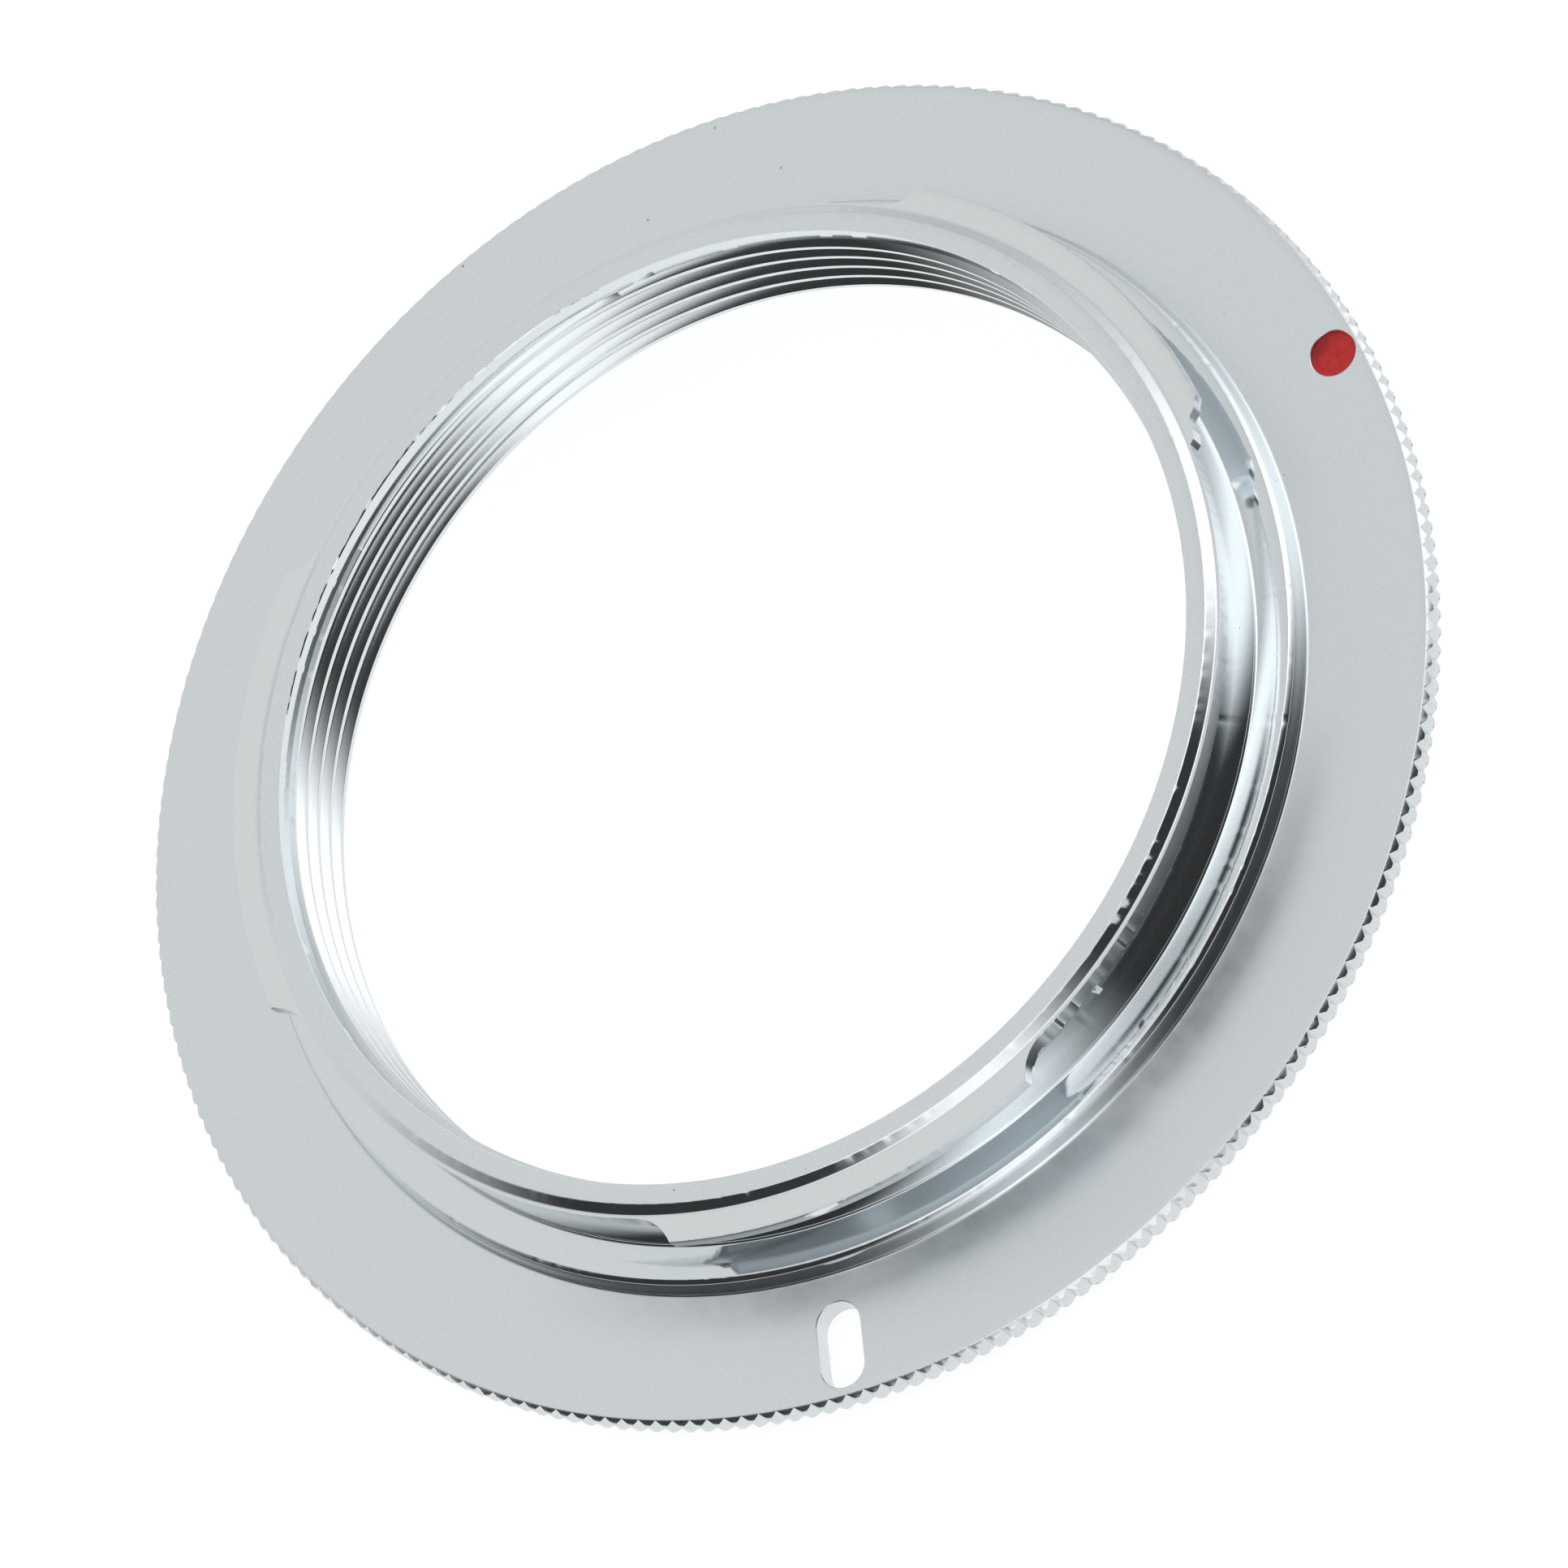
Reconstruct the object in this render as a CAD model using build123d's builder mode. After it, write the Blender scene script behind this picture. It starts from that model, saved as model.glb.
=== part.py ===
"""Lens mount adapter ring: a 42 mm screw lens on a three-lug bayonet camera.

Lies as it rests, bayonet up. The origin is the middle of the rear face.
The red index dot points along +Y. Millimetres and degrees.
"""

import os
from math import cos, radians, sin, tan

from build123d import *

# Threaded bore, crests of a 42 x 1 mm lens thread
thread_crest_radius = 20.46
thread_lead_in = 0.09
bore_deburr_width = 0.26
bore_deburr_depth = 0.06

# Neck, wall outside the thread crests and the small bevel at its foot
neck_wall = 1.59
neck_bevel = 0.15

# Rim above the lugs, chamfered on its outer side
rim_wall = 1.11
rim_chamfer_width = 0.40
rim_above_lugs = 0.29

# Bayonet lugs, heights above the flange
lug_reach = 1.07
lug_root_height = 3.45
lug_underside_rise = 0.20
lug_thickness = 0.62

# Gaps between the lugs, by the angles where they start and stop
mill_radius = 2.0
gap_floor_step = 0.04
gap_spans = ((13.9, 83.6), (136.3, 214.4), (272.9, 323.9))
clean_lug_ends = (13.9, 136.3, 214.4, 272.9, 323.9)
mill_clearance = 0.1

# Torn end of the lug next to the index dot, shares of the lug's reach along the break
torn_shares = (0.175, 0.36, 0.26, 0.456, 0.738, 0.796, 1.0)
torn_angles = (83.6, 85.2, 85.8, 86.6, 87.1, 87.6, 88.3)

# Locating shoulder and ledge, outside the neck
shoulder_step = 1.85
shoulder_taper = 0.16
foot_bevel = 0.13
ledge_height = 0.93
ledge_chamfer_width = 0.17
ledge_chamfer_drop = 0.17

# Grip flange
flange_width = 5.48
flange_thickness = 1.0
front_bevel = 0.21

# Straight knurl round the flange
groove_count = 234
groove_depth = 0.20
crest_share = 0.25
knurl_overlap = 0.06

# Lock pin slot, its middle measured in from the flange edge
slot_angle = -19.25
slot_inset = 2.38
slot_length = 3.70
slot_width = 1.95

# Index dot, red enamel in a drilled seat
dot_angle = 90.0
dot_inset = 1.33
dot_radius = 1.0
seat_depth = 0.25
drill_tip_angle = 140.0
enamel_edge_depth = 0.14
enamel_dish = 0.10

# Radii that follow from the sizes above
neck_radius = thread_crest_radius + neck_wall
rim_top_radius = thread_crest_radius + rim_wall
rim_foot_radius = rim_top_radius + rim_chamfer_width
lug_radius = neck_radius + lug_reach
gap_floor_radius = neck_radius + gap_floor_step
mill_path_radius = gap_floor_radius + mill_radius
gap_outer_radius = mill_path_radius + mill_radius
shoulder_foot_radius = neck_radius + shoulder_step
shoulder_top_radius = shoulder_foot_radius - shoulder_taper
ledge_radius = shoulder_top_radius - ledge_chamfer_width
flange_radius = shoulder_foot_radius + flange_width
disc_radius = flange_radius + knurl_overlap
bevel_start_radius = flange_radius - front_bevel
deburr_radius = thread_crest_radius + bore_deburr_width
slot_middle = flange_radius - slot_inset
dot_middle = flange_radius - dot_inset

# Heights that follow from the sizes above
ledge_z = flange_thickness + ledge_height
ledge_chamfer_z = ledge_z - ledge_chamfer_drop
lug_root_z = flange_thickness + lug_root_height
lug_tip_z = lug_root_z + lug_underside_rise
lug_top_z = lug_tip_z + lug_thickness
rim_z = lug_top_z + rim_above_lugs
gap_cut_depth = lug_top_z - lug_root_z + 2 * mill_clearance
bevel_end_z = flange_thickness - front_bevel - knurl_overlap
seat_z = flange_thickness - seat_depth
seat_tip_z = seat_z - dot_radius / tan(radians(drill_tip_angle / 2))
enamel_z = flange_thickness - enamel_edge_depth


def polar(radius, angle):
    """A point of the plan by its radius and its angle in degrees."""
    return (radius * cos(radians(angle)), radius * sin(radians(angle)))


def knurl_outline():
    """The plan of the grip: flat crests with a V groove between each two."""
    pitch = 360.0 / groove_count
    half_crest = pitch * crest_share / 2
    points = []
    for tooth in range(groove_count):
        middle = tooth * pitch
        points.append(polar(flange_radius, middle - half_crest))
        points.append(polar(flange_radius, middle + half_crest))
        points.append(polar(flange_radius - groove_depth, middle + pitch / 2))
    return points


def torn_outline():
    """The plan of what is missing beyond the torn lug end."""
    lug_step = lug_radius - gap_floor_radius
    points = []
    for share, angle in zip(torn_shares, torn_angles):
        points.append(polar(gap_floor_radius + lug_step * share, angle))
    points.append(polar(gap_outer_radius, torn_angles[-1]))
    points.append(polar(gap_outer_radius, torn_angles[0]))
    return points


# Upright plane and axis through the middle of the dot
dot_x, dot_y = polar(dot_middle, dot_angle)
dot_plane = Plane(origin=(dot_x, dot_y, 0), x_dir=(1, 0, 0), z_dir=(0, -1, 0))
dot_axis = Axis((dot_x, dot_y, 0), (0, 0, 1))

# Adapter ring: turned, knurled and milled from one brass blank
with BuildPart() as adapter_ring:
    # Turned section
    with BuildSketch(Plane.XZ):
        with BuildLine():
            Polyline(
                (shoulder_foot_radius + foot_bevel, flange_thickness),
                (bevel_start_radius, flange_thickness),
                (disc_radius, bevel_end_z),
                (disc_radius, 0),
                (thread_crest_radius + thread_lead_in, 0),
                (thread_crest_radius, thread_lead_in),
                (thread_crest_radius, rim_z - bore_deburr_depth),
                (deburr_radius, rim_z),
                (rim_top_radius, rim_z),
                (rim_foot_radius, lug_top_z),
                (lug_radius, lug_top_z),
                (lug_radius, lug_tip_z),
                (neck_radius, lug_root_z),
                (neck_radius, ledge_z + neck_bevel),
                (neck_radius + neck_bevel, ledge_z),
                (ledge_radius, ledge_z),
                (shoulder_top_radius, ledge_chamfer_z),
                (shoulder_foot_radius, flange_thickness + foot_bevel),
                close=True,
            )
        make_face()
    revolve(axis=Axis.Z)

    # Straight knurl, rolled through the bevelled edge
    with BuildSketch(Plane.XY):
        with BuildLine():
            Polyline(*knurl_outline(), close=True)
        make_face()
    extrude(amount=rim_z, mode=Mode.INTERSECT)

    # Gaps between the lugs, with the end mill's own radius left at each clean lug end
    with BuildSketch(Plane.XY.offset(lug_root_z - mill_clearance)):
        for start, stop in gap_spans:
            with BuildLine():
                inner = CenterArc((0, 0), gap_floor_radius, start, stop - start)
                outer = CenterArc((0, 0), gap_outer_radius, start, stop - start)
                Line(inner @ 0, outer @ 0)
                Line(inner @ 1, outer @ 1)
            make_face()
        for angle in clean_lug_ends:
            with PolarLocations(mill_path_radius, 1, start_angle=angle):
                Circle(mill_radius)
        with BuildLine():
            Polyline(*torn_outline(), close=True)
        make_face()
    extrude(amount=gap_cut_depth, mode=Mode.SUBTRACT)

    # Lock pin slot
    with BuildSketch(Plane.XY):
        with PolarLocations(slot_middle, 1, start_angle=slot_angle):
            SlotOverall(slot_length, slot_width)
    extrude(amount=flange_thickness, mode=Mode.SUBTRACT)

    # Drilled seat for the index dot
    with BuildSketch(dot_plane):
        with BuildLine():
            Polyline(
                (0, flange_thickness),
                (dot_radius, flange_thickness),
                (dot_radius, seat_z),
                (0, seat_tip_z),
                close=True,
            )
        make_face()
    revolve(axis=dot_axis, mode=Mode.SUBTRACT)
adapter_ring.part.label = "adapter_ring"

# Index dot: enamel pooled in the seat, a little lower in its middle
with BuildPart() as index_dot:
    with BuildSketch(dot_plane):
        with BuildLine():
            Polyline(
                (0, enamel_z - enamel_dish),
                (dot_radius, enamel_z),
                (dot_radius, seat_z),
                (0, seat_tip_z),
                close=True,
            )
        make_face()
    revolve(axis=dot_axis)
index_dot.part.label = "index_dot"

# Files of the pieces
os.makedirs("parts", exist_ok=True)
export_step(adapter_ring.part, "parts/adapter_ring.step")
export_step(index_dot.part, "parts/index_dot.step")
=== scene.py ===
"""Looks of the lens mount adapter ring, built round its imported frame.

Lengths are written in millimetres and degrees, and go into the scene in metres.
The ring lies bayonet up, with the index dot towards +Y.
"""

from math import acos, atan2, cos, degrees, hypot, pi, radians, sin, sqrt

import bmesh
import bpy
from mathutils import Matrix, Vector, noise


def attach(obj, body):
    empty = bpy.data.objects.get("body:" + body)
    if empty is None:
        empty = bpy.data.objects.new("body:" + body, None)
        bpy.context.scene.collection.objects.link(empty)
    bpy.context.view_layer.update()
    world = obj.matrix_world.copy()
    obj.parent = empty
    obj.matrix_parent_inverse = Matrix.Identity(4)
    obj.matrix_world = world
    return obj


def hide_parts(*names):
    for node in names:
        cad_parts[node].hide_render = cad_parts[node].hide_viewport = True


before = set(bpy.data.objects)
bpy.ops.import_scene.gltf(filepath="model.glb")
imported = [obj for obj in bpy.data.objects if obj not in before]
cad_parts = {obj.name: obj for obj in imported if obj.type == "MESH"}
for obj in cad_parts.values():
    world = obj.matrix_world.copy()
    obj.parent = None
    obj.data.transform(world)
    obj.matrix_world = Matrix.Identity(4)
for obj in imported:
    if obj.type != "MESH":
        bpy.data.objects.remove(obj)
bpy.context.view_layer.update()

MM = 0.001
COLUMNS = 936
SECTORS = 36
MERGE_GAP = 0.002

# Turned section of the ring, from the flat of the rim down the outside and across the rear face
RIM_Z = 5.56
RIM_EDGE = 21.60
LUG_TOP_Z = 5.27
LUG_ROOT_Z = 4.45
LUG_RADIUS = 23.12
NECK_RADIUS = 22.05
GAP_RADIUS = 22.09
LEDGE_Z = 1.93
LEDGE_EDGE = 23.50
FLANGE_Z = 1.0
FLANGE_RADIUS = 29.38
FRONT_BEVEL = 0.21
FLAT_START = 21.13
SECTION = (
    (FLAT_START, RIM_Z), (21.52, RIM_Z), (21.56, 5.552), (RIM_EDGE, 5.53),
    (21.625, 5.512), (21.905, 5.313), (21.93, 5.297), (21.96, 5.283), (22.0, 5.274), (22.04, LUG_TOP_Z),
    (22.35, LUG_TOP_Z), (22.7, LUG_TOP_Z), (23.06, LUG_TOP_Z), (23.105, 5.258), (LUG_RADIUS, 5.215),
    (LUG_RADIUS, 4.95), (LUG_RADIUS, 4.69), (23.09, 4.652),
    (22.6, 4.555), (22.12, 4.465), (NECK_RADIUS, 4.43),
    (NECK_RADIUS, 3.8), (NECK_RADIUS, 3.0), (NECK_RADIUS, 2.12),
    (22.07, 2.03), (22.12, 1.965), (22.21, LEDGE_Z),
    (22.9, LEDGE_Z), (LEDGE_EDGE, LEDGE_Z), (23.56, 1.917), (23.70, 1.787), (23.743, 1.735),
    (23.79, 1.5), (23.88, 1.16), (23.91, 1.07), (23.965, 1.018), (24.05, FLANGE_Z),
    (25.0, FLANGE_Z), (26.2, FLANGE_Z), (27.8, FLANGE_Z), (28.8, FLANGE_Z), (29.12, FLANGE_Z),
    (29.18, 0.985), (29.36, 0.805), (FLANGE_RADIUS, 0.77),
    (FLANGE_RADIUS, 0.4), (FLANGE_RADIUS, 0.05), (29.34, 0.0),
    (28.8, 0.0), (26.5, 0.0), (24.0, 0.0), (FLAT_START, 0.0),
)

# Helical thread of the bore
THREAD_PITCH = 1.0
THREAD_PHASE = -0.14
THREAD_CREST = 20.46
THREAD_ROOT = 21.0
THREAD_TURN = (
    (THREAD_CREST + 0.035, -0.018), (THREAD_CREST, 0.012),
    (THREAD_CREST, 0.238), (THREAD_CREST + 0.035, 0.268),
    (THREAD_ROOT - 0.02, 0.55), (THREAD_ROOT, 0.585), (THREAD_ROOT, 0.665), (THREAD_ROOT - 0.02, 0.70),
)
ENTRY_RADIUS = 20.72
ENTRY_DEPTH = 0.84
LEAD_IN = 0.09

# Torn edge round the entry of the bore: angle where it is widest, spread to each side, widths
RAGGED_MIDDLE = 203
RAGGED_SPREAD = 34
RAGGED_WIDTH = 0.075
ENTRY_WEAR = 0.010

# Straight knurl
GROOVES = 234
GROOVE_DEPTH = 0.20
KNURL_START = 29.0

# Gaps between the lugs
MILL_RADIUS = 2.0
CLEAN_ENDS = ((13.9, -1), (136.3, -1), (214.4, 1), (272.9, -1), (323.9, 1))
GAP_SPANS = ((13.9, 83.6), (136.3, 214.4), (272.9, 323.9))
TORN_END = (
    (83.6, 22.27), (85.2, 22.46), (85.8, 22.36), (86.6, 22.56), (87.1, 22.85), (87.6, 22.91), (88.3, 23.12),
)

# Nicks in the edges: how far in and down they go, the size of their grain and the noise that makes none
RIM_NICK = (0.014, 0.010, 0.22, 0.15)
LUG_NICK = (0.03, 0.02, 0.25, 0.0)
LEDGE_NICK = (0.05, 0.04, 0.2, 0.45)

# Cusps that the end mill left on the gap walls, deepest up to one angle
CUSP_GRAIN = 0.16
CUSP_DEPTH = 0.006
WORST_CUSP_DEPTH = 0.033
WORST_CUSP_END = 30

# Lock pin slot
SLOT_BEARING = -19.25
SLOT_MIDDLE = 27.0
SLOT_LENGTH = 3.70
SLOT_WIDTH = 1.95
SLOT_EDGE = 0.03

# Tones of the painted shade on the flange, of the specks of dirt and of the tops of the lugs
PAINTED_SHADE_TONE = (0.26, 0.28, 0.29)
SPECK_TONE = (0.20, 0.17, 0.13)
SPECK_STRENGTH = 0.75
LUG_TONE = (0.835, 0.85, 0.85)
LUG_TONE_STRENGTH = 0.6

# Painted shade on the flange, standing for the dark reflection of the boss wall: the radii where it starts
# to thin out and ends, and how dark it lies by bearing
SHADE_REACH = (23.6, 26.4)
SHADE_CLOUD = 1.1
SHADE_LEVELS = (
    (-180, 0.0), (-52, 0.0), (-42, 0.25), (-30, 0.55), (-24, 0.70), (-17, 0.40), (-6, 0.80), (6, 0.55),
    (15, 0.75), (26, 1.0), (34, 0.8), (44, 0.35), (56, 0.0), (180, 0.0),
)

# Specks: the size of the cell that may hold one, the share of cells that do, and the largest speck in cells
SPECK_CELL = 0.9
SPECK_SHARE = 0.14
SPECK_SIZE = 0.075

# Light of the studio: the level of its walls and softboxes by bearing
BOX_LEVELS = (
    (-180, 0.72), (-165, 0.78), (-140, 0.78), (-118, 0.76), (-100, 0.70), (-80, 0.80), (-57, 0.95),
    (-38, 1.12), (-27, 1.17), (-8, 1.25), (3, 1.05), (14, 0.92), (29, 0.75), (43, 0.72), (57, 0.84),
    (69, 1.0), (80, 1.15), (90, 1.25), (110, 1.5), (121, 1.45), (127, 1.2), (133, 0.98), (139, 0.81),
    (150, 0.66), (160, 0.60), (180, 0.72),
)

# Dark sides of the studio: bearing of the middle, half the width, elevations where they fade and end
DARK_SIDES = ((51, 39, 58, 62), (-61, 36, 46, 57))
DARK_SOFT = 16
DARK_FOOT = (0, 3)
DARK_LEVEL = 0.04

# Pale floor: distance and level of its light near and far, and what the camera sees of it
FLOOR_NEAR = (24.0, 0.97)
FLOOR_FAR = (38.0, 0.72)
FLOOR_SHADED = 0.3
FLOOR_GLOW = 0.84

# Camera of the photo, in pixels of its 1932 wide frame, and the ring as it saw it
FRAME_WIDTH = 1932.0
FOCAL_LENGTH = 14000.0
TILT = 35.20
SWING = -142.31
DIAL = 68.8586
RING_SEEN_AT = (-0.360, -1.770, 465.04)

# Index dot: its enamel and its drilled seat, by distance from its axis and height
DOT_MIDDLE = 28.05
DOT_RADIUS = 1.0
ENAMEL_PROFILE = (
    (0.0, 0.80), (0.35, 0.802), (0.65, 0.812), (0.85, 0.835), (0.95, 0.87), (0.985, 0.90),
    (DOT_RADIUS, 0.90), (DOT_RADIUS, 0.75), (0.5, 0.55), (0.0, 0.4),
)
SEAT_PROFILE = (
    (0.0, 0.38), (DOT_RADIUS, 0.745), (DOT_RADIUS, 0.975), (1.03, FLANGE_Z), (1.06, 1.4), (0.0, 1.4),
)
ENAMEL_SHADE = (0.26, 0.008, 0.02)

# Finishes of the ring by number, and the angles from which an edge shows as sharp
SATIN, TURNED, MILLED, THREADED, KNURLED = range(5)
CREASE = 32
THREAD_CREASE = 16


def place(radius, angle, z):
    """A point in metres from its radius, angle and height in millimetres and degrees."""
    a = radians(angle)
    return Vector((radius * cos(a) * MM, radius * sin(a) * MM, z * MM))


def read(co):
    """The radius, angle and height of a point, in millimetres and degrees."""
    return hypot(co.x, co.y) / MM, degrees(atan2(co.y, co.x)) % 360.0, co.z / MM


def turn(points, rise=0.0):
    """Spins an open section once round the Z axis, climbing by rise: one sector first, then its copies."""
    bm = bmesh.new()
    verts = [bm.verts.new((r * MM, 0.0, z * MM)) for r, z in points]
    edges = [bm.edges.new(pair) for pair in zip(verts, verts[1:])]
    bmesh.ops.spin(bm, geom=verts + edges, cent=(0, 0, 0), axis=(0, 0, 1), dvec=(0, 0, rise * MM / COLUMNS),
                   angle=2 * pi / SECTORS, steps=COLUMNS // SECTORS)
    bmesh.ops.spin(bm, geom=bm.verts[:] + bm.edges[:] + bm.faces[:], cent=(0, 0, 0), axis=(0, 0, 1),
                   dvec=(0, 0, rise * MM / SECTORS), angle=2 * pi * (SECTORS - 1) / SECTORS,
                   steps=SECTORS - 1, use_duplicate=True)
    bmesh.ops.remove_doubles(bm, verts=bm.verts[:], dist=MERGE_GAP * MM)
    return bm


def open_edges(bm, low, high):
    """The edges of open borders whose ends both lie between two heights."""
    found = []
    for edge in bm.edges:
        if edge.is_boundary and all(low < v.co.z / MM < high for v in edge.verts):
            found.append(edge)
    return found


def extrude_to(bm, edges, radius, z):
    """Extrudes a border to a height, and to the radius that a function gives from its own and the angle."""
    made = bmesh.ops.extrude_edge_only(bm, edges=edges)["geom"]
    for v in (g for g in made if isinstance(g, bmesh.types.BMVert)):
        r, angle, _ = read(v.co)
        v.co = place(radius(r, angle), angle, z)
    return [g for g in made if isinstance(g, bmesh.types.BMEdge)]


def ragged(angle):
    """How torn the entry's edge is at an angle, from 0 to 1."""
    away = abs((angle - RAGGED_MIDDLE + 180) % 360 - 180) / RAGGED_SPREAD
    return max(0.0, 1.0 - away ** 2)


def entry_edge(r, angle):
    """The radius where the flat of the rim ends above the bore's entry."""
    a = radians(angle)
    tear = 0.5 + 0.9 * noise.noise(Vector((cos(a) * 45, sin(a) * 45, 7.0)))
    fine = 0.2 * noise.noise(Vector((cos(a) * 160, sin(a) * 160, 3.0)))
    return ENTRY_RADIUS + 0.012 + (ENTRY_WEAR + RAGGED_WIDTH * ragged(angle)) * max(0.0, tear + fine)


def wind_thread():
    """Winds the thread, trims it, and adds the plain entry above it and the lead-in below."""
    profile = []
    for k in range(-3, 7):
        profile += [(r, k * THREAD_PITCH + THREAD_PHASE + z) for r, z in THREAD_TURN]
    bm = turn(profile, THREAD_PITCH)
    entry = RIM_Z - ENTRY_DEPTH
    for height, keep_below in ((entry, True), (LEAD_IN, False)):
        bmesh.ops.bisect_plane(bm, geom=bm.verts[:] + bm.edges[:] + bm.faces[:], dist=1e-8,
                               plane_co=(0, 0, height * MM), plane_no=(0, 0, 1),
                               clear_outer=keep_below, clear_inner=not keep_below)
    extrude_to(bm, open_edges(bm, 0.0, 0.2), lambda r, angle: max(r, THREAD_CREST + LEAD_IN), 0.0)
    rim = open_edges(bm, entry - 0.05, entry + 0.05)
    rim = extrude_to(bm, rim, lambda r, angle: ENTRY_RADIUS, entry + 0.02)
    rim = extrude_to(bm, rim, lambda r, angle: ENTRY_RADIUS, RIM_Z - 0.05)
    extrude_to(bm, rim, entry_edge, RIM_Z)
    return bm


def mill_overrun():
    """How many degrees past its stop the end mill leaves a lug's outer corner."""
    path = GAP_RADIUS + MILL_RADIUS
    return degrees(acos((LUG_RADIUS ** 2 + path ** 2 - MILL_RADIUS ** 2) / (2 * LUG_RADIUS * path)))


def clean_end(angle):
    """The reach of the wall at an angle past the stop of the end mill, or None away from it."""
    path = GAP_RADIUS + MILL_RADIUS
    for stop, way in CLEAN_ENDS:
        past = ((angle - stop + 180) % 360 - 180) * way
        if 0 <= past <= mill_overrun():
            a = radians(past)
            return path * cos(a) - sqrt(max(MILL_RADIUS ** 2 - (path * sin(a)) ** 2, 0.0))
    return None


def lug_reach(angle):
    """How far out the wall goes at an angle of the bayonet."""
    for start, stop in GAP_SPANS:
        if start <= angle <= stop:
            return GAP_RADIUS
    for (a0, r0), (a1, r1) in zip(TORN_END, TORN_END[1:]):
        if a0 <= angle <= a1:
            return r0 + (r1 - r0) * (angle - a0) / (a1 - a0)
    found = clean_end(angle)
    return LUG_RADIUS if found is None else found


def lug_corners():
    """The angles of the outer corners of the lugs."""
    return [stop + way * mill_overrun() for stop, way in CLEAN_ENDS] + [TORN_END[-1][0]]


def snap(angle, corners, step):
    """Moves the columns near a corner so that one of them stands on it."""
    for corner in corners:
        column = round(corner / step) * step
        away = abs((angle - column + 180) % 360 - 180) / (3 * step)
        if away < 1:
            return angle + (corner - column) * (1 - away)
    return angle


def mill_gaps(bm):
    """Takes the lugs away between their ends."""
    corners = lug_corners()
    step = 360.0 / COLUMNS
    for v in bm.verts:
        r, angle, z = read(v.co)
        if LUG_ROOT_Z < z < RIM_Z - 0.2 and r > GAP_RADIUS:
            angle = snap(angle, corners, step)
            v.co = place(min(r, lug_reach(angle % 360)), angle, z)


def roll_knurl(bm):
    """Presses the V grooves into the edge of the flange."""
    share = {0: -0.125, 1: 0.125, 2: 0.5, 3: 0.6875}
    depth = {0: 0.0, 1: 0.0, 2: GROOVE_DEPTH, 3: GROOVE_DEPTH / 2}
    pitch = 360.0 / GROOVES
    for v in bm.verts:
        r, angle, z = read(v.co)
        if r < KNURL_START:
            continue
        column = round(angle / (pitch / 4))
        tooth, place_in_tooth = divmod(column, 4)
        turned = (tooth + share[place_in_tooth]) * pitch
        limit = FLANGE_RADIUS - depth[place_in_tooth]
        if r > limit:
            if z > 0.7:
                z = FLANGE_Z - max(limit - (FLANGE_RADIUS - FRONT_BEVEL), 0.0)
            r = limit
        v.co = place(r, turned, z)


def wobble(angle, grain, seed):
    """Seeded noise round the ring, from about -1 to 1, with features grain millimetres long at the rim."""
    a = radians(angle)
    return 1.6 * noise.noise(Vector((cos(a) * 22 / grain, sin(a) * 22 / grain, seed)))


def nick(r, angle, z, wear, seed):
    """A point of an edge, moved in and down where the noise makes a nick."""
    inward, down, grain, calm = wear
    bite = max(0.0, wobble(angle, grain, seed) - calm)
    return place(r - inward * bite, angle, z - down * bite)


def wear_edges(bm):
    """Nicks on the edges of the rim, the lugs and the ledge, and the cutter's cusps on the gap walls."""
    for v in bm.verts:
        r, angle, z = read(v.co)
        if RIM_EDGE - 0.05 < r < RIM_EDGE + 0.01 and z > RIM_Z - 0.04:
            v.co = nick(r, angle, z, RIM_NICK, 2.0)
        elif LUG_RADIUS - 0.07 < r < LUG_RADIUS + 0.01 and LUG_TOP_Z - 0.07 < z < LUG_TOP_Z + 0.01:
            v.co = nick(r, angle, z, LUG_NICK, 5.0)
        elif LEDGE_EDGE - 0.01 < r < LEDGE_EDGE + 0.07 and z > LEDGE_Z - 0.03:
            v.co = nick(r, angle, z, LEDGE_NICK, 8.0)
        elif abs(r - GAP_RADIUS) < 0.002 and LUG_ROOT_Z < z < LUG_TOP_Z - 0.01:
            depth = WORST_CUSP_DEPTH if angle < WORST_CUSP_END else CUSP_DEPTH
            cusp = max(-1.0, min(1.0, 1.5 * wobble(angle, CUSP_GRAIN, 11.0)))
            v.co = place(r + depth * cusp, angle, z)


def build_ring():
    """The thread and the turned outside joined at the rim and the rear face, then milled and knurled."""
    bm = wind_thread()
    body = bpy.data.meshes.new("turned_body")
    outside = turn(SECTION)
    outside.to_mesh(body)
    outside.free()
    bm.from_mesh(body)
    bpy.data.meshes.remove(body)
    for low, high in ((RIM_Z - 0.01, RIM_Z + 0.01), (-0.01, 0.01)):
        bmesh.ops.bridge_loops(bm, edges=open_edges(bm, low, high))
    mill_gaps(bm)
    roll_knurl(bm)
    wear_edges(bm)
    bmesh.ops.remove_doubles(bm, verts=bm.verts[:], dist=MERGE_GAP * MM)
    bmesh.ops.dissolve_degenerate(bm, edges=bm.edges[:], dist=1e-7)
    bmesh.ops.recalc_face_normals(bm, faces=bm.faces[:])
    return bm


def new_object(name, bm):
    """Makes an object of a bmesh."""
    mesh = bpy.data.meshes.new(name)
    bm.to_mesh(mesh)
    bm.free()
    piece = bpy.data.objects.new(name, mesh)
    bpy.context.scene.collection.objects.link(piece)
    return piece


def finish_mesh(bm, name, materials, sort=None):
    """Makes an object of a bmesh, with its sharp edges marked and its faces given their finish."""
    for face in bm.faces:
        face.smooth = True
        if sort:
            face.material_index = sort(face)
    for edge in bm.edges:
        limit = THREAD_CREASE if all(f.material_index == THREADED for f in edge.link_faces) else CREASE
        edge.smooth = not edge.is_manifold or edge.calc_face_angle() < radians(limit)
    piece = new_object(name, bm)
    for material in materials:
        piece.data.materials.append(material)
    return piece


def new_material(name):
    material = bpy.data.materials.new(name)
    material.use_nodes = True
    return material, material.node_tree, material.node_tree.nodes["Principled BSDF"]


def link(tree, a, b):
    tree.links.new(a, b)


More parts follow.
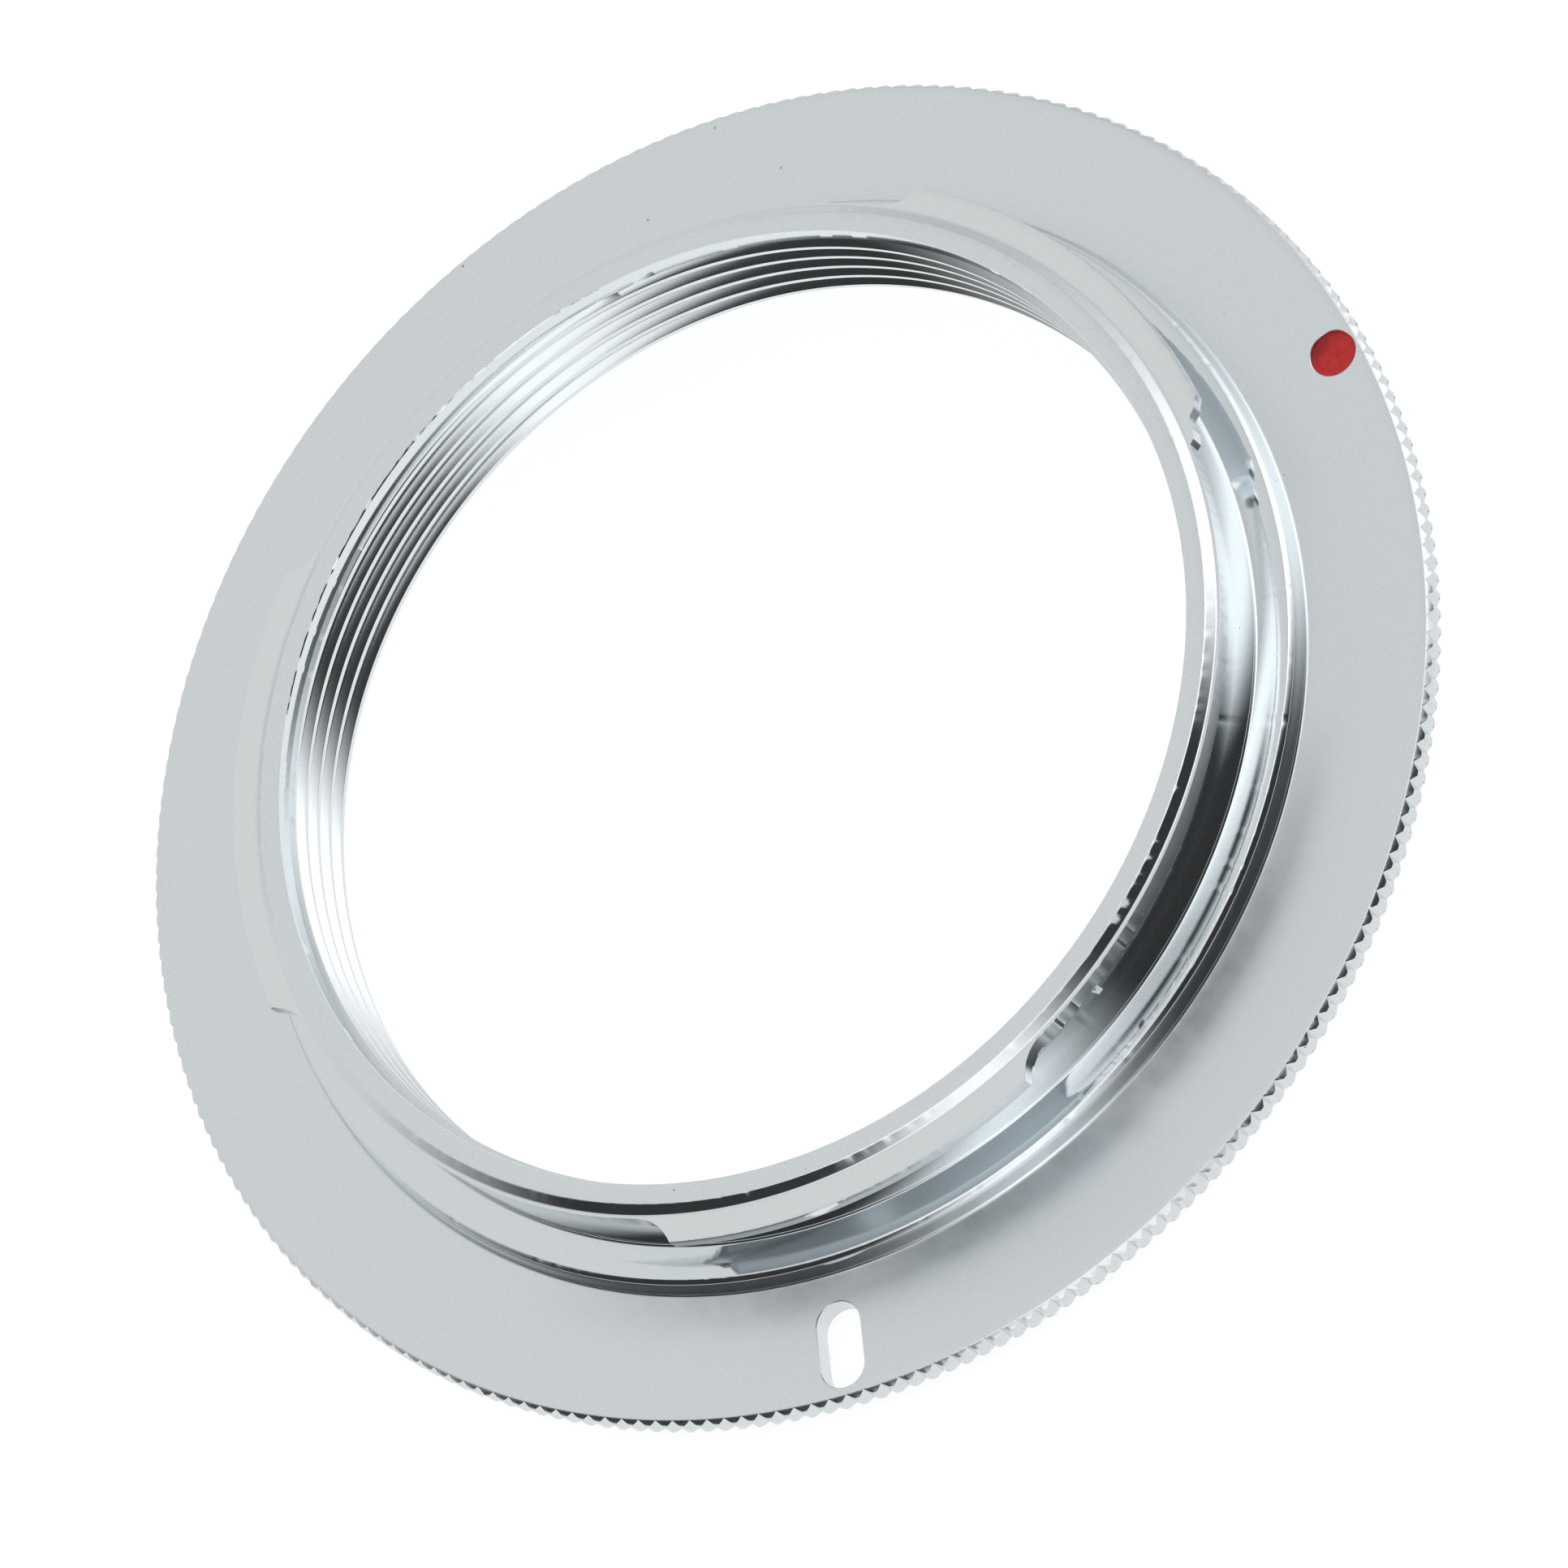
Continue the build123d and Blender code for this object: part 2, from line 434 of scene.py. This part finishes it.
def math_node(tree, operation, a, b=None, c=None):
    """A Math node with its inputs linked or set."""
    node = tree.nodes.new("ShaderNodeMath")
    node.operation = operation
    for socket, value in zip(node.inputs, (a, b, c)):
        if isinstance(value, bpy.types.NodeSocket):
            link(tree, value, socket)
        elif value is not None:
            socket.default_value = value
    return node.outputs["Value"]


def ease(tree, value, low, high):
    """A smooth step from 0 at low to 1 at high."""
    node = tree.nodes.new("ShaderNodeMapRange")
    node.interpolation_type = "SMOOTHSTEP"
    node.inputs["From Min"].default_value = low
    node.inputs["From Max"].default_value = high
    link(tree, value, node.inputs["Value"])
    return node.outputs["Result"]


def tint(tree, share, colour, other):
    """Mixes a colour towards another by a share."""
    node = tree.nodes.new("ShaderNodeMix")
    node.data_type = "RGBA"
    link(tree, share, node.inputs["Factor"])
    link(tree, colour, node.inputs["A"])
    node.inputs["B"].default_value = (*other, 1)
    return node.outputs["Result"]


def bearing_ramp(tree, share, levels):
    """Levels by bearing in degrees, from a share of the turn."""
    walls = tree.nodes.new("ShaderNodeValToRGB")
    link(tree, share, walls.inputs["Fac"])
    ramp = walls.color_ramp
    ramp.interpolation = "LINEAR"
    ramp.elements[0].position = 0.0
    ramp.elements[1].position = 1.0
    for k, (bearing, level) in enumerate(levels):
        if k == 0:
            element = ramp.elements[0]
        elif k == len(levels) - 1:
            element = ramp.elements[len(ramp.elements) - 1]
        else:
            element = ramp.elements.new((bearing + 180) / 360)
        element.color = (level, level, level, 1)
    return walls.outputs["Color"]


def noise_node(tree, position, size, detail=2.0):
    """Noise with features of about a size in millimetres."""
    node = tree.nodes.new("ShaderNodeTexNoise")
    node.inputs["Scale"].default_value = 1.0 / (size * MM)
    node.inputs["Detail"].default_value = detail
    link(tree, position, node.inputs["Vector"])
    return node.outputs["Fac"]


def paint_shade_and_lug_tone(tree, position, colour):
    """Painted shade on the flange beside the shoulder, cloudy, standing for the dark reflection of the boss
    wall, and the paler tops of the lugs.
    """
    split = tree.nodes.new("ShaderNodeSeparateXYZ")
    link(tree, position, split.inputs["Vector"])
    x, y, z = split.outputs["X"], split.outputs["Y"], split.outputs["Z"]
    radius = math_node(tree, "SQRT", math_node(tree, "ADD", math_node(tree, "MULTIPLY", x, x),
                                               math_node(tree, "MULTIPLY", y, y)))
    near = math_node(tree, "SUBTRACT", 1.0, ease(tree, radius, SHADE_REACH[0] * MM, SHADE_REACH[1] * MM))
    bearing = math_node(tree, "ARCTAN2", y, x)
    shade_level = bearing_ramp(tree, math_node(tree, "MULTIPLY_ADD", bearing, 1 / (2 * pi), 0.5), SHADE_LEVELS)
    low = math_node(tree, "SUBTRACT", 1.0, ease(tree, z, 1.01 * MM, 1.2 * MM))
    cloud = math_node(tree, "MULTIPLY_ADD", noise_node(tree, position, SHADE_CLOUD, 5.0), 0.9, 0.35)
    share = math_node(tree, "MULTIPLY", math_node(tree, "MULTIPLY", near, shade_level),
                      math_node(tree, "MULTIPLY", low, cloud))
    # Painted shade: the flange is darkened beside the shoulder, where the boss wall reflects dark
    shaded_colour = tint(tree, math_node(tree, "MINIMUM", share, 0.9), colour, PAINTED_SHADE_TONE)
    high = ease(tree, z, (LUG_TOP_Z - 0.12) * MM, (LUG_TOP_Z - 0.07) * MM)
    on_lug = math_node(tree, "MULTIPLY", high, ease(tree, radius, 22.0 * MM, 22.1 * MM))
    return tint(tree, math_node(tree, "MULTIPLY", on_lug, LUG_TONE_STRENGTH), shaded_colour, LUG_TONE)


def speckle(tree, position, colour):
    """Sparse dark specks, each in a cell of its own."""
    cells = tree.nodes.new("ShaderNodeTexVoronoi")
    cells.inputs["Scale"].default_value = 1.0 / (SPECK_CELL * MM)
    link(tree, position, cells.inputs["Vector"])
    draw = tree.nodes.new("ShaderNodeSeparateColor")
    link(tree, cells.outputs["Color"], draw.inputs["Color"])
    kept = math_node(tree, "GREATER_THAN", draw.outputs["Red"], 1.0 - SPECK_SHARE)
    size = math_node(tree, "MULTIPLY", draw.outputs["Green"], SPECK_SIZE)
    outline = math_node(tree, "ADD", noise_node(tree, position, 0.05), 0.4)
    reach = math_node(tree, "MULTIPLY", size, outline)
    inside = math_node(tree, "LESS_THAN", cells.outputs["Distance"], reach)
    share = math_node(tree, "MULTIPLY", math_node(tree, "MULTIPLY", kept, inside), SPECK_STRENGTH)
    return tint(tree, share, colour, SPECK_TONE)


def plating(name, roughness, grain, grain_size, with_shade_and_lug_tone=False):
    """Pearl chrome with a fine grain and a few specks, and on the flats the painted shade beside the
    shoulder and the lugs' tone.
    """
    material, tree, shader = new_material(name)
    nodes = tree.nodes
    shader.inputs["Metallic"].default_value = 1.0
    coords = nodes.new("ShaderNodeTexCoord")
    fine = nodes.new("ShaderNodeTexNoise")
    fine.inputs["Scale"].default_value = 1.0 / (grain_size * MM)
    fine.inputs["Detail"].default_value = 2.0
    link(tree, coords.outputs["Object"], fine.inputs["Vector"])
    tone = nodes.new("ShaderNodeValToRGB")
    tone.color_ramp.elements[0].position = 0.3
    tone.color_ramp.elements[0].color = (0.72, 0.765, 0.79, 1)
    tone.color_ramp.elements[1].position = 0.7
    tone.color_ramp.elements[1].color = (0.80, 0.84, 0.86, 1)
    link(tree, fine.outputs["Fac"], tone.inputs["Fac"])
    colour = tone.outputs["Color"]
    if with_shade_and_lug_tone:
        colour = paint_shade_and_lug_tone(tree, coords.outputs["Object"], colour)
    link(tree, speckle(tree, coords.outputs["Object"], colour), shader.inputs["Base Color"])
    rough = nodes.new("ShaderNodeMapRange")
    rough.inputs["To Min"].default_value = roughness * 0.8
    rough.inputs["To Max"].default_value = roughness * 1.2
    link(tree, fine.outputs["Fac"], rough.inputs["Value"])
    link(tree, rough.outputs["Result"], shader.inputs["Roughness"])
    bump = nodes.new("ShaderNodeBump")
    bump.inputs["Strength"].default_value = grain
    bump.inputs["Distance"].default_value = grain_size * MM * 0.1
    link(tree, fine.outputs["Fac"], bump.inputs["Height"])
    link(tree, bump.outputs["Normal"], shader.inputs["Normal"])
    return material


def enamel():
    """Red enamel, a little cloudy."""
    material, tree, shader = new_material("red_enamel")
    nodes = tree.nodes
    shader.inputs["Roughness"].default_value = 0.35
    shader.inputs["Specular IOR Level"].default_value = 0.3
    coords = nodes.new("ShaderNodeTexCoord")
    cloud = nodes.new("ShaderNodeTexNoise")
    cloud.inputs["Scale"].default_value = 2500.0
    link(tree, coords.outputs["Object"], cloud.inputs["Vector"])
    tone = nodes.new("ShaderNodeValToRGB")
    tone.color_ramp.elements[0].position = 0.35
    tone.color_ramp.elements[0].color = (0.55, 0.020, 0.022, 1)
    tone.color_ramp.elements[1].position = 0.65
    tone.color_ramp.elements[1].color = (0.70, 0.032, 0.026, 1)
    link(tree, cloud.outputs["Fac"], tone.inputs["Fac"])
    split = nodes.new("ShaderNodeSeparateXYZ")
    link(tree, coords.outputs["Object"], split.inputs["Vector"])
    # Darker on the side that lies in the shade of the seat's wall
    lean = math_node(tree, "MULTIPLY_ADD", split.outputs["Y"], -0.45, DOT_MIDDLE * 0.45 * MM)
    lean = math_node(tree, "MULTIPLY_ADD", split.outputs["X"], -0.89, lean)
    shade = math_node(tree, "MULTIPLY", ease(tree, lean, 0.25 * MM, 0.9 * MM), 0.7)
    link(tree, tint(tree, shade, tone.outputs["Color"], ENAMEL_SHADE), shader.inputs["Base Color"])
    return material


def ring_finish(face):
    """The number of the finish of a face, by where it lies and which way it faces."""
    r, _, z = read(face.calc_center_median())
    upright = abs(face.normal.z)
    if r < ENTRY_RADIUS + 0.4 and upright < 0.97:
        return THREADED
    if r > FLANGE_RADIUS - 0.23 and upright < 0.97:
        return KNURLED
    if GAP_RADIUS - 0.05 < r < LUG_RADIUS - 0.02 and LUG_ROOT_Z < z < LUG_TOP_Z - 0.01 and upright < 0.3:
        return MILLED
    if upright > 0.97 and not NECK_RADIUS + 0.05 < r < LEDGE_EDGE + 0.1:
        return SATIN
    return SATIN if upright > 0.97 and z > LUG_ROOT_Z else TURNED


def spin_round_dot(profile):
    """A turned solid on the axis of the index dot."""
    bm = bmesh.new()
    verts = [bm.verts.new((x * MM, DOT_MIDDLE * MM, z * MM)) for x, z in profile]
    edges = [bm.edges.new(pair) for pair in zip(verts, verts[1:])]
    bmesh.ops.spin(bm, geom=verts + edges, cent=(0, DOT_MIDDLE * MM, 0), axis=(0, 0, 1), dvec=(0, 0, 0),
                   angle=2 * pi, steps=72, use_merge=True)
    bmesh.ops.remove_doubles(bm, verts=bm.verts[:], dist=MERGE_GAP * MM)
    bmesh.ops.recalc_face_normals(bm, faces=bm.faces[:])
    return bm


def slot_cutter():
    """The round-ended slot as a solid, with its upper edge eased."""
    bm = bmesh.new()
    bmesh.ops.create_cube(bm, size=1.0)
    for v in bm.verts:
        v.co = Vector((v.co.x * SLOT_LENGTH, v.co.y * SLOT_WIDTH,
                       -0.5 if v.co.z < 0 else FLANGE_Z - SLOT_EDGE)) * MM
    upright = [e for e in bm.edges if abs(e.verts[0].co.z - e.verts[1].co.z) > 1.0 * MM]
    bmesh.ops.bevel(bm, geom=upright, offset=0.974 * MM, offset_type="OFFSET", affect="EDGES", segments=16,
                    profile=0.5, material=-1)
    bm.normal_update()
    top = max(bm.faces, key=lambda f: f.calc_center_median().z)
    half_straight = (SLOT_LENGTH - SLOT_WIDTH) / 2 * MM
    for rise, grow in ((SLOT_EDGE, SLOT_EDGE), (0.5, 0.0)):
        made = bmesh.ops.extrude_face_region(bm, geom=[top])["geom"]
        bmesh.ops.delete(bm, geom=[top], context="FACES_ONLY")
        top = next(g for g in made if isinstance(g, bmesh.types.BMFace))
        for v in top.verts:
            along = max(-half_straight, min(half_straight, v.co.x))
            out = Vector((v.co.x - along, v.co.y, 0.0))
            v.co += out.normalized() * grow * MM + Vector((0, 0, rise * MM))
    bmesh.ops.recalc_face_normals(bm, faces=bm.faces[:])
    out_to_slot = Matrix.Translation((SLOT_MIDDLE * MM, 0, 0))
    bmesh.ops.transform(bm, matrix=Matrix.Rotation(radians(SLOT_BEARING), 4, "Z") @ out_to_slot,
                        verts=bm.verts[:])
    return new_object("slot_cutter", bm)


def carve(piece, tools):
    """Subtracts the cutters from a piece and applies the result."""
    for tool in tools:
        modifier = piece.modifiers.new(tool.name, "BOOLEAN")
        modifier.operation = "DIFFERENCE"
        modifier.solver = "MANIFOLD"
        modifier.object = tool
    bpy.context.view_layer.update()
    shown = piece.evaluated_get(bpy.context.evaluated_depsgraph_get())
    carved = bpy.data.meshes.new_from_object(shown)
    piece.modifiers.clear()
    piece.data = carved
    for tool in tools:
        bpy.data.objects.remove(tool)


# Finishes
# The satin flats carry the painted shade that stands for the boss wall's reflection beside the shoulder
satin = plating("satin_pearl_flat", roughness=0.32, grain=0.14, grain_size=0.09, with_shade_and_lug_tone=True)
turned = plating("turned_plating", roughness=0.085, grain=0.05, grain_size=0.06)
milled = plating("milled_plating", roughness=0.15, grain=0.2, grain_size=0.06)
threaded = plating("thread_plating", roughness=0.11, grain=0.08, grain_size=0.06)
knurled = plating("knurl_plating", roughness=0.20, grain=0.2, grain_size=0.06)

finishes = [satin, turned, milled, threaded, knurled]
ring = finish_mesh(build_ring(), "adapter_ring_plated", finishes, ring_finish)
carve(ring, [slot_cutter(), new_object("seat_cutter", spin_round_dot(SEAT_PROFILE))])
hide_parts("adapter_ring")
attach(ring, "root")

dot = finish_mesh(spin_round_dot(ENAMEL_PROFILE), "index_dot_enamel", [enamel()])
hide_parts("index_dot")
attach(dot, "root")


def build_floor():
    """A pale floor that shows white to the camera and keeps a soft shadow."""
    bm = bmesh.new()
    bmesh.ops.create_grid(bm, x_segments=4, y_segments=4, size=1.5)
    floor = new_object("studio_floor", bm)
    material, tree, shader = new_material("pale_paper")
    nodes = tree.nodes
    nodes.remove(shader)
    out = nodes["Material Output"]
    paths = nodes.new("ShaderNodeLightPath")
    coords = nodes.new("ShaderNodeTexCoord")
    away = nodes.new("ShaderNodeVectorMath")
    away.operation = "LENGTH"
    link(tree, coords.outputs["Object"], away.inputs[0])
    level = nodes.new("ShaderNodeMapRange")
    level.interpolation_type = "SMOOTHSTEP"
    level.inputs["From Min"].default_value = FLOOR_NEAR[0] * MM
    level.inputs["From Max"].default_value = FLOOR_FAR[0] * MM
    level.inputs["To Min"].default_value = FLOOR_NEAR[1]
    level.inputs["To Max"].default_value = FLOOR_FAR[1]
    link(tree, away.outputs["Value"], level.inputs["Value"])
    paper = nodes.new("ShaderNodeEmission")
    link(tree, level.outputs["Result"], paper.inputs["Strength"])
    dim_paper = nodes.new("ShaderNodeBsdfDiffuse")
    dim_paper.inputs["Color"].default_value = (FLOOR_SHADED, FLOOR_SHADED, FLOOR_SHADED, 1)
    glow = nodes.new("ShaderNodeEmission")
    glow.inputs["Strength"].default_value = FLOOR_GLOW
    shown = nodes.new("ShaderNodeAddShader")
    link(tree, dim_paper.outputs["BSDF"], shown.inputs[0])
    link(tree, glow.outputs["Emission"], shown.inputs[1])
    mix = nodes.new("ShaderNodeMixShader")
    link(tree, paths.outputs["Is Camera Ray"], mix.inputs["Fac"])
    link(tree, paper.outputs["Emission"], mix.inputs[1])
    link(tree, shown.outputs["Shader"], mix.inputs[2])
    link(tree, mix.outputs["Shader"], out.inputs["Surface"])
    floor.data.materials.append(material)


def dark_side(tree, bearing, height, middle, half, low, high):
    """How much of a direction lies in a dark side of the studio, from 0 to 1."""
    off = math_node(tree, "ABSOLUTE", math_node(tree, "SUBTRACT", bearing, radians(middle)))
    fade = ease(tree, off, radians(half - DARK_SOFT), radians(half + DARK_SOFT))
    across = math_node(tree, "SUBTRACT", 1.0, fade)
    below = math_node(tree, "SUBTRACT", 1.0, ease(tree, height, sin(radians(low)), sin(radians(high))))
    above = ease(tree, height, sin(radians(DARK_FOOT[0])), sin(radians(DARK_FOOT[1])))
    return math_node(tree, "MULTIPLY", across, math_node(tree, "MULTIPLY", below, above))


def build_studio():
    """Walls and softboxes of the studio as the light of the world, by compass direction."""
    world = bpy.data.worlds.new("studio")
    bpy.context.scene.world = world
    world.use_nodes = True
    tree = world.node_tree
    nodes = tree.nodes
    nodes.clear()
    out = nodes.new("ShaderNodeOutputWorld")
    coords = nodes.new("ShaderNodeTexCoord")
    split = nodes.new("ShaderNodeSeparateXYZ")
    link(tree, coords.outputs["Generated"], split.inputs["Vector"])
    bearing = math_node(tree, "ARCTAN2", split.outputs["Y"], split.outputs["X"])
    turn_share = math_node(tree, "MULTIPLY_ADD", bearing, 1 / (2 * pi), 0.5)
    boxes = bearing_ramp(tree, turn_share, BOX_LEVELS)
    shares = [dark_side(tree, bearing, split.outputs["Z"], *side) for side in DARK_SIDES]
    sides = tint(tree, math_node(tree, "MAXIMUM", *shares), boxes, (DARK_LEVEL, DARK_LEVEL, DARK_LEVEL))
    studio = nodes.new("ShaderNodeBackground")
    link(tree, sides, studio.inputs["Color"])
    white = nodes.new("ShaderNodeBackground")
    white.inputs["Color"].default_value = (1, 1, 1, 1)
    paths = nodes.new("ShaderNodeLightPath")
    mix = nodes.new("ShaderNodeMixShader")
    link(tree, paths.outputs["Is Camera Ray"], mix.inputs["Fac"])
    link(tree, studio.outputs["Background"], mix.inputs[1])
    link(tree, white.outputs["Background"], mix.inputs[2])
    link(tree, mix.outputs["Shader"], out.inputs["Surface"])


def build_camera():
    """The camera that took the photo, from the tilt and turn of the ring that it saw."""
    tilt, swing, dial = radians(TILT), radians(SWING), radians(DIAL)
    up = Vector((sin(tilt) * cos(swing), sin(tilt) * sin(swing), -cos(tilt)))
    first = up.cross(Vector((0, 0, 1))).normalized()
    second = up.cross(first)
    x_axis = first * cos(dial) + second * sin(dial)
    y_axis = second * cos(dial) - first * sin(dial)
    seen = Matrix((x_axis, y_axis, up))
    place_of_eye = -(seen @ Vector(RING_SEEN_AT)) + Vector((0, 0, FLANGE_Z))
    turn_of_eye = seen @ Matrix(((1, 0, 0), (0, -1, 0), (0, 0, -1)))
    data = bpy.data.cameras.new("studio_camera")
    data.sensor_fit = "HORIZONTAL"
    data.sensor_width = 36.0
    data.lens = FOCAL_LENGTH / FRAME_WIDTH * data.sensor_width
    data.clip_start = 0.01
    data.clip_end = 20.0
    camera = bpy.data.objects.new("studio_camera", data)
    camera.matrix_world = Matrix.Translation(place_of_eye * MM) @ turn_of_eye.to_4x4()
    bpy.context.scene.collection.objects.link(camera)
    bpy.context.scene.camera = camera


build_floor()
build_studio()
build_camera()
bpy.context.scene.view_settings.view_transform = "Standard"
